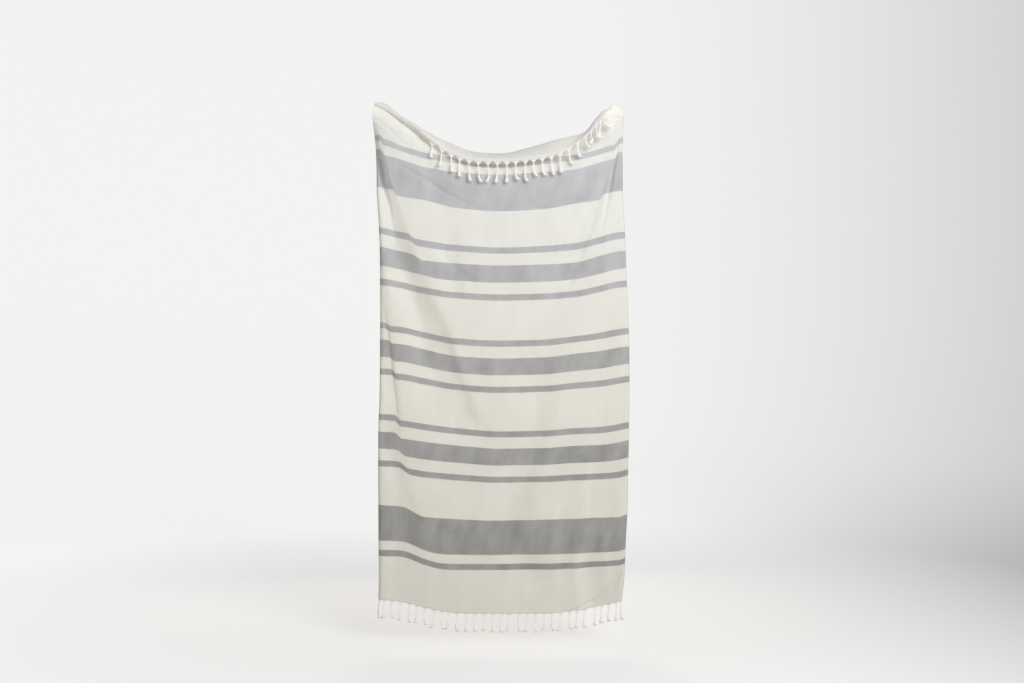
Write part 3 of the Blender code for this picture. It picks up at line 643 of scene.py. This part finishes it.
def even_table(count):
    """A row for each tassel: length, swing, lean to the front, depth of its bends, turn of its brush."""
    rows = []
    for j in range(count):
        length = TASSEL_LENGTH * (1.0 + 0.05 * math.sin(1.7 * j))
        swing = 0.0022 * math.sin(2.1 * j + 0.6)
        curl = 0.0010 + 0.0007 * math.sin(3.3 * j)
        rows.append((length, swing, FORWARD_LEAN, curl, 20.0 * math.sin(2.9 * j + 0.4)))
    return rows


# The tassels of the upper hem from the left: length, swing, lean, depth of bends, turn of the brush
# (degrees).
TOP_TABLE = (
    (0.054, -0.007, 0.06, 0.0016, 5), (0.063, -0.007, 0.06, 0.0012, -8), (0.065, 0.001, 0.06, 0.0012, 10),
    (0.069, -0.005, 0.06, 0.0010, 14), (0.074, 0.001, 0.06, 0.0014, 14), (0.077, 0.002, 0.06, 0.0018, 26),
    (0.076, 0.006, 0.06, 0.0022, -34), (0.074, -0.004, 0.06, 0.0010, -4), (0.073, -0.001, 0.06, 0.0012, 2),
    (0.071, -0.002, 0.07, 0.0030, 36), (0.077, -0.003, 0.06, 0.0016, 32), (0.065, 0.000, 0.07, 0.0014, 40),
    (0.067, -0.001, 0.07, 0.0016, 42), (0.069, 0.004, 0.06, 0.0012, 20), (0.070, 0.003, 0.06, 0.0012, 10),
    (0.061, 0.003, 0.07, 0.0020, 30), (0.060, 0.001, 0.08, 0.0024, 34), (0.050, 0.010, 0.10, 0.0040, 40),
    (0.052, 0.004, 0.12, 0.0045, -30), (0.056, 0.008, 0.16, 0.0050, 50), (0.064, 0.002, 0.12, 0.0055, -30),
    (0.050, 0.012, 0.18, 0.0060, 40),
)


# ---------------------------------------------------------------- shader maths
class Signal:
    """A node socket with arithmetic: each operator adds the Math node that computes it."""

    def __init__(self, tree, socket):
        self.tree, self.socket = tree, socket

    def math(self, operation, *others):
        """The operation of this value and the others, as the output of a new Math node."""
        return Finish(self.tree).node("ShaderNodeMath", {"operation": operation}, (self, *others))

    def __add__(self, other):
        return self.math("ADD", other)

    def __mul__(self, other):
        return self.math("MULTIPLY", other)

    def __sub__(self, other):
        return self.math("SUBTRACT", other)

    def __truediv__(self, other):
        return self.math("DIVIDE", other)

    def __rsub__(self, other):
        """A plain number less this value."""
        return Finish(self.tree).node("ShaderNodeMath", {"operation": "SUBTRACT"}, (other, self))

    __radd__ = __add__
    __rmul__ = __mul__


class Finish:
    """Adds nodes to a material's tree: a type, its settings, and the values or links of its sockets."""

    def __init__(self, tree):
        self.tree = tree

    def fill(self, made, sockets):
        """Give a node's inputs what they take: a Signal is linked, anything else is set as the value."""
        named = sockets.items() if isinstance(sockets, dict) else enumerate(sockets)
        for key, value in named:
            if isinstance(value, Signal):
                self.tree.links.new(value.socket, made.inputs[key])
            else:
                made.inputs[key].default_value = value

    def node(self, kind, settings=None, sockets=(), output=0):
        """A new node of this kind with its settings and inputs; gives back the output that is asked for."""
        made = self.tree.nodes.new(kind)
        for key, value in (settings or {}).items():
            setattr(made, key, value)
        self.fill(made, sockets)
        return Signal(self.tree, made.outputs[output])

    def mix(self, factor, a, b, blend="MIX"):
        """a + factor * (b - a) for two colours, or a times b with the blend MULTIPLY."""
        return self.node("ShaderNodeMix", {"data_type": "RGBA", "blend_type": blend},
                         {0: factor, 6: a, 7: b}, output=2)

    def noise(self, vector, scale, detail=2.0, roughness=0.5):
        """Soft noise from 0 to 1 about 0.5, with `scale` periods to the unit of the vector."""
        return self.node("ShaderNodeTexNoise", {}, {"Vector": vector, "Scale": scale, "Detail": detail,
                                                    "Roughness": roughness})

    def stretched(self, vector, amounts):
        """The vector times an amount for each axis: a larger one makes noise finer along that axis."""
        return self.node("ShaderNodeVectorMath", {"operation": "MULTIPLY"}, {0: vector, 1: amounts})


def new_material(name):
    """A material, the adder for its tree and its surface shader."""
    mat = bpy.data.materials.new(name)
    mat.use_nodes = True
    return mat, Finish(mat.node_tree), mat.node_tree.nodes["Principled BSDF"]


def let_light_through(add, shader, share, colour):
    """(1 - share) of the surface and share of a translucent sheet of this colour, linked to the output."""
    glow = add.node("ShaderNodeBsdfTranslucent", {}, {"Color": colour})
    mixed = add.node("ShaderNodeMixShader", {}, {0: share, 2: glow})
    add.tree.links.new(shader.outputs["BSDF"], mixed.socket.node.inputs[1])
    add.tree.links.new(mixed.socket, add.tree.nodes["Material Output"].inputs["Surface"])


def linear(r, g, b):
    """sRGB bytes to the linear colour with full alpha."""
    values = [c / 255.0 for c in (r, g, b)]
    return (*[v / 12.92 if v <= 0.04045 else ((v + 0.055) / 1.055) ** 2.4 for v in values], 1.0)


# Colours: the LOW ones, at the bottom hem, are painted shade and the HIGH ones, at the top hem, painted
# light, as the light falls off downwards; the TURNED one is the end folded to the front, painted lighter
# still.
CREAM_LOW_SHADED = linear(232, 232, 230)
CREAM_HIGH_LIT = linear(236, 241, 247)
CREAM_TURNED_LIT = linear(251, 251, 253)
GREY_LOW_SHADED = linear(150, 150, 150)
GREY_HIGH_LIT = linear(207, 210, 219)
YARN = linear(255, 254, 250)
YARN_SOILED = linear(250, 247, 241)
GLOW = linear(251, 248, 236)
THROUGH_CREAM = 0.38     # share of the light that goes through
THROUGH_GREY = 0.24
THROUGH_YARN = 0.12
# Painted light: the yarn's emission, a faint glow that lifts its shaded sides towards white.
YARN_GLOW = 0.10
WARP_PITCH = 0.0013
WEFT_PITCH = 0.0012
# Noise drawn out on the cloth: periods to the metre across and along it, and the detail.
DRAWN_NOISE = {
    "band_edge": (14.0, 90.0, 2.0),
    "slub_weft": (9.0, 620.0, 3.0),
    "slub_warp": (520.0, 5.0, 3.0),
    "weft_streak": (11.0, 150.0, 3.0),
    "warp_streak": (170.0, 8.0, 3.0),
}
BAND_WANDER = 0.0016     # breadth of the strip in which a band's edge strays
HIGH_POWER = 1.6         # the colours turn from the low ones to the high ones, from painted shade to painted light, with the height to this power
TURNED_FROM = 1.69       # height from which the folded end takes a lighter cream, painted light
TURNED_OVER = 0.05
WEFT_STREAKS = 0.24      # depth of the tone's parts, as shares of the colour
WARP_STREAKS = 0.10
SLUB_WEFT = 0.10
SLUB_WARP = 0.08
CLOUDS = 0.10
STREAKED = (0.30, 0.70)  # on cream, and what a grey band adds
STREAKS_GONE = 0.50      # at the top
RUBBED = (0.08, 0.62)    # on cream, and what a grey band adds
RUBBED_GONE = 0.75       # at the top
RUB_SLANT = 0.30         # the rubbed places lean by this much across for each metre up
RUB_PERIODS = (17.0, 4.5)          # to the metre across and along
CLOUD_PERIODS = 7.0
FINE_RUB_PERIODS, FINE_RUB = 16.0, 0.7
RELIEF_PERIODS = 38.0
SELVEDGE = 0.007         # width of the darker strip along each side, painted shade where the edge turns back
SELVEDGE_PAINTED_SHADE = (0.12, 0.40)       # on cream, and what a grey band adds
SPECKS = 0.38            # how much cream shows through the grey weft
# Parts of the bump: threads over and under, slubs along the weft and the warp, and the worn nap.
THREAD_BUMP, WEFT_BUMP, WARP_BUMP, NAP_BUMP = 0.08, 0.35, 0.25, 0.90


def woven_cotton():
    """Plain-woven cotton: cream warp, cream or grey weft in bands, slubs along both threads, worn places.

    `band` is the sum of one comparison for each band: 1 where the height is within half its width of its
    middle. The colour is cream or grey by `band`, painted shade towards the bottom and painted light towards
    the top and on the folded end, times a tone: 1 plus slubs, clouds, streaks and rubbed places, each a noise
    about 0, less a painted shade along the selvedges.
    """
    mat, add, shader = new_material("woven_cotton")
    cut = add.node("ShaderNodeUVMap", {"uv_map": "cut"})
    u, v = (add.node("ShaderNodeSeparateXYZ", {}, {0: cut}, output=k) for k in (0, 1))

    def drawn(name):
        """The noise of that row of DRAWN_NOISE: the cut's place times its periods."""
        across, along_cloth, detail = DRAWN_NOISE[name]
        return add.noise(add.stretched(cut, (across, along_cloth, 1.0)), 1.0, detail)

    place = v + (drawn("band_edge") - 0.5) * BAND_WANDER
    band = 0.0
    for start, end in GREY_BANDS:
        band = place.math("COMPARE", 0.5 * (start + end), 0.5 * (end - start)) + band
    warp = (u * (math.pi / WARP_PITCH)).math("SINE")
    weft = (v * (math.pi / WEFT_PITCH)).math("SINE")
    over = warp * weft
    slub_weft, slub_warp = drawn("slub_weft"), drawn("slub_warp")
    cloudy = add.noise(cut, CLOUD_PERIODS, 3.0)
    tone = (slub_weft - 0.5) * SLUB_WEFT + (slub_warp - 0.5) * SLUB_WARP + (cloudy - 0.5) * CLOUDS + 1.0
    high = (v * (1.0 / CUT_LENGTH)).math("POWER", HIGH_POWER)
    streaks = (drawn("weft_streak") - 0.5) * WEFT_STREAKS + (drawn("warp_streak") - 0.5) * WARP_STREAKS
    tone = tone + streaks * (STREAKED[0] + STREAKED[1] * band) * (1.0 - STREAKS_GONE * high)
    slanting = add.node("ShaderNodeCombineXYZ", {}, ((u - v * RUB_SLANT) * RUB_PERIODS[0], v * RUB_PERIODS[1],
                                                     0.0))
    fine_rub = (add.noise(cut, FINE_RUB_PERIODS, 3.0) - 0.5) * FINE_RUB
    rubbed = add.noise(slanting, 1.0, 2.0) - 0.5 + fine_rub
    tone = tone + rubbed * (RUBBED[0] + RUBBED[1] * band) * (1.0 - RUBBED_GONE * high)
    # Painted shade: the tone is darker in a strip along each selvedge, where the edge turns back from the
    # light.
    from_middle = (u - 0.5 * CUT_WIDTH).math("ABSOLUTE")
    selvedge = ((from_middle - (0.5 * CUT_WIDTH - SELVEDGE)) * (1.0 / SELVEDGE)).math("MAXIMUM", 0.0)
    tone = tone - selvedge * (SELVEDGE_PAINTED_SHADE[0] + SELVEDGE_PAINTED_SHADE[1] * band)
    # Painted light and shade: the grey and the cream run from darker at the bottom to lighter at the top.
    grey = add.mix(high, GREY_LOW_SHADED, GREY_HIGH_LIT)
    speck = slub_weft * slub_warp * SPECKS
    cream = add.mix(high, CREAM_LOW_SHADED, CREAM_HIGH_LIT)
    # Painted light: the end folded to the front is painted a lighter cream.
    turned = ((v - TURNED_FROM) * (1.0 / TURNED_OVER)).math("MAXIMUM", 0.0).math("MINIMUM", 1.0)
    cream = add.mix(turned, cream, CREAM_TURNED_LIT)
    grey = add.mix(speck, grey, cream)
    colour = add.mix(band, cream, grey)
    tint = add.node("ShaderNodeCombineXYZ", {}, (tone, tone, tone))
    colour = add.mix(1.0, colour, tint, "MULTIPLY")
    nap = add.noise(cut, RELIEF_PERIODS, 4.0)
    relief = (over.math("ABSOLUTE") * THREAD_BUMP + slub_weft * WEFT_BUMP + slub_warp * WARP_BUMP
              + nap * NAP_BUMP)
    bump = add.node("ShaderNodeBump", {}, {"Strength": 0.45, "Distance": 0.0005, "Height": relief})
    add.fill(shader, {"Base Color": colour, "Normal": bump, "Roughness": 0.92, "Sheen Weight": 0.12,
                      "Sheen Roughness": 0.6, "Specular IOR Level": 0.25})
    share = THROUGH_CREAM - band * (THROUGH_CREAM - THROUGH_GREY)
    let_light_through(add, shader, share, GLOW)
    return mat


def twisted_yarn():
    """Cream cotton yarn, soiled to clean by noise drawn out along the strands, with a faint painted glow."""
    mat, add, shader = new_material("twisted_yarn")
    place = add.node("ShaderNodeTexCoord", output=3)
    fibre = add.noise(add.stretched(place, (1400.0, 1400.0, 260.0)), 1.0, 3.0)
    soft = add.noise(place, 60.0, 2.0)
    colour = add.mix(fibre * 0.5 + soft * 0.3, YARN_SOILED, YARN)
    bump = add.node("ShaderNodeBump", {}, {"Strength": 0.5, "Distance": 0.0003, "Height": fibre})
    add.fill(shader, {"Base Color": colour, "Emission Color": colour, "Emission Strength": YARN_GLOW,
                      "Normal": bump, "Roughness": 0.9, "Sheen Weight": 0.15, "Specular IOR Level": 0.25})
    let_light_through(add, shader, THROUGH_YARN, YARN)
    return mat


# ---------------------------------------------------------------- studio
FLOOR_Z = -1.79
FLOOR_REACH = 7.0        # distance from the towel at which the floor begins to turn up
FLOOR_RINGS = 7
TURN_RADIUS = 3.0
TURN_STEPS = 12
WALL_TOP = 6.0
WALL_SIDES = 64
PAPER_NEAR = (0.70, 0.70, 0.695, 1.0)
PAPER_FAR = (0.99, 0.99, 0.985, 1.0)
PAPER_GLOW = 0.70
PAPER_FROM = 0.6         # distance from the towel at which the paper begins to brighten
PAPER_OVER = 2.4
SHADE_CORE = 0.6         # softens the right side's shading near the towel
SHADE_DEPTH = 1.3
AIR_LIGHT = 0.40
CAMERA_AHEAD = 4.5       # of the panel's plane
CAMERA_X = 0.0343
CAMERA_Z = -0.6876
PIXELS_PER_METRE = 277.0
PICTURE_WIDTH = 1024.0
SENSOR_WIDTH = 36.0      # mm

# Area lights: name, place, target, sides (metres), power (watts), colour.
LIGHTS = (
    ("key", (1.9, -3.3, 1.0), (0.0, 0.0, -0.4), (1.8, 1.8), 103.0, (1.0, 1.0, 1.0)),
    ("behind", (-0.2, 1.6, -0.45), (0.0, 0.0, -0.20), (1.1, 0.9), 20.0, (1.0, 0.84, 0.62)),
)


def make_studio():
    """A pale floor that turns up into a round wall: a profile turned about the vertical through the towel.

    The paper's own light grows with the distance from that axis, and falls with the square of the sine
    of the bearing on the right.
    """
    arc = np.linspace(0.0, np.pi / 2.0, TURN_STEPS + 1)[1:]
    floor = np.linspace(1.0, FLOOR_REACH, FLOOR_RINGS)
    outer = FLOOR_REACH + TURN_RADIUS
    radius = np.concatenate([floor, FLOOR_REACH + TURN_RADIUS * np.sin(arc), [outer]])
    rise = np.concatenate([np.zeros(FLOOR_RINGS), TURN_RADIUS * (1.0 - np.cos(arc)), [WALL_TOP]])
    theta = np.arange(WALL_SIDES) * 2.0 * np.pi / WALL_SIDES
    points = np.stack([radius[:, None] * np.cos(theta), radius[:, None] * np.sin(theta),
                       np.repeat(rise[:, None], WALL_SIDES, 1)], -1).reshape(-1, 3)
    points = np.concatenate([points, [[0.0, 0.0, 0.0]]], 0) + np.array([0.0, 0.0, FLOOR_Z])
    faces = grid_faces(len(radius), WALL_SIDES, 0, around=True)[:, ::-1].tolist()
    centre = len(points) - 1
    faces += [[centre, k, (k + 1) % WALL_SIDES] for k in range(WALL_SIDES)]
    studio = piece_from("studio_floor", points, faces)
    mat, add, shader = new_material("studio_paper")
    place = add.node("ShaderNodeTexCoord", output=3)
    x, y = (add.node("ShaderNodeSeparateXYZ", {}, {0: place}, output=k) for k in (0, 1))
    away = (x * x + y * y).math("SQRT")
    far = ((away - PAPER_FROM) * (1.0 / PAPER_OVER)).math("MAXIMUM", 0.0).math("MINIMUM", 1.0)
    right = (x / (away + SHADE_CORE)).math("MAXIMUM", 0.0).math("POWER", 2.0) * far * SHADE_DEPTH
    paper = add.mix(right, add.mix(far, PAPER_NEAR, PAPER_FAR), (0.0, 0.0, 0.0, 1.0))
    add.fill(shader, {"Base Color": (0.45, 0.45, 0.45, 1.0), "Roughness": 1.0, "Specular IOR Level": 0.0,
                      "Emission Color": paper, "Emission Strength": PAPER_GLOW})
    studio.data.materials.append(mat)
    studio.visible_diffuse = False
    studio.visible_shadow = False


def area_light(name, place, target, size, power, colour):
    """A rectangular light at `place` that faces `target`: it is turned from straight down by its aim."""
    data = bpy.data.lights.new(name, "AREA")
    data.shape = "RECTANGLE"
    data.size, data.size_y = size
    data.energy = power
    data.color = colour
    item = bpy.data.objects.new(name, data)
    item.location = place
    aim = np.array(target, float) - np.array(place, float)
    aim /= np.linalg.norm(aim)
    item.rotation_euler = (math.acos(-aim[2]), 0.0, math.atan2(aim[0], -aim[1]) + math.pi)
    item.visible_camera = False
    bpy.context.collection.objects.link(item)


def make_lights():
    """Even white air and the two area lights, shown without any film curve."""
    world = bpy.data.worlds.new("studio_air")
    world.use_nodes = True
    world.node_tree.nodes["Background"].inputs["Color"].default_value = (1.0, 1.0, 1.0, 1.0)
    world.node_tree.nodes["Background"].inputs["Strength"].default_value = AIR_LIGHT
    bpy.context.scene.world = world
    bpy.context.scene.view_settings.view_transform = "Standard"
    for row in LIGHTS:
        area_light(*row)


def make_camera():
    """Level camera ahead of the panel.

    The lens is the pixels to the metre, times the distance, times the sensor's share for each pixel.
    """
    data = bpy.data.cameras.new("front_camera")
    data.sensor_width = SENSOR_WIDTH
    data.lens = PIXELS_PER_METRE * CAMERA_AHEAD * SENSOR_WIDTH / PICTURE_WIDTH
    item = bpy.data.objects.new("front_camera", data)
    item.location = (CAMERA_X, PANEL_Y - CAMERA_AHEAD, CAMERA_Z)
    item.rotation_euler = (math.pi / 2.0, 0.0, 0.0)
    bpy.context.collection.objects.link(item)
    bpy.context.scene.camera = item


# ---------------------------------------------------------------- the towel
towel, towel_points = make_cloth()
towel.data.materials.append(woven_cotton())
yarn = twisted_yarn()
bottom = make_fringe("bottom_tassels", towel_points, 0, 2, BOTTOM_ROOTS, even_table(len(BOTTOM_ROOTS)))
top = make_fringe("top_tassels", towel_points, -1, -3, TOP_ROOTS, TOP_TABLE)
for fringe in (bottom, top):
    fringe.data.materials.append(yarn)

make_studio()
make_lights()
make_camera()

for piece, node, slot in ((towel, "towel_cloth", "cotton_cloth"), (bottom, "fringe_bottom", "cotton_yarn"),
                          (top, "fringe_top", "cotton_yarn")):
    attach(piece, "root")
    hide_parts(node)
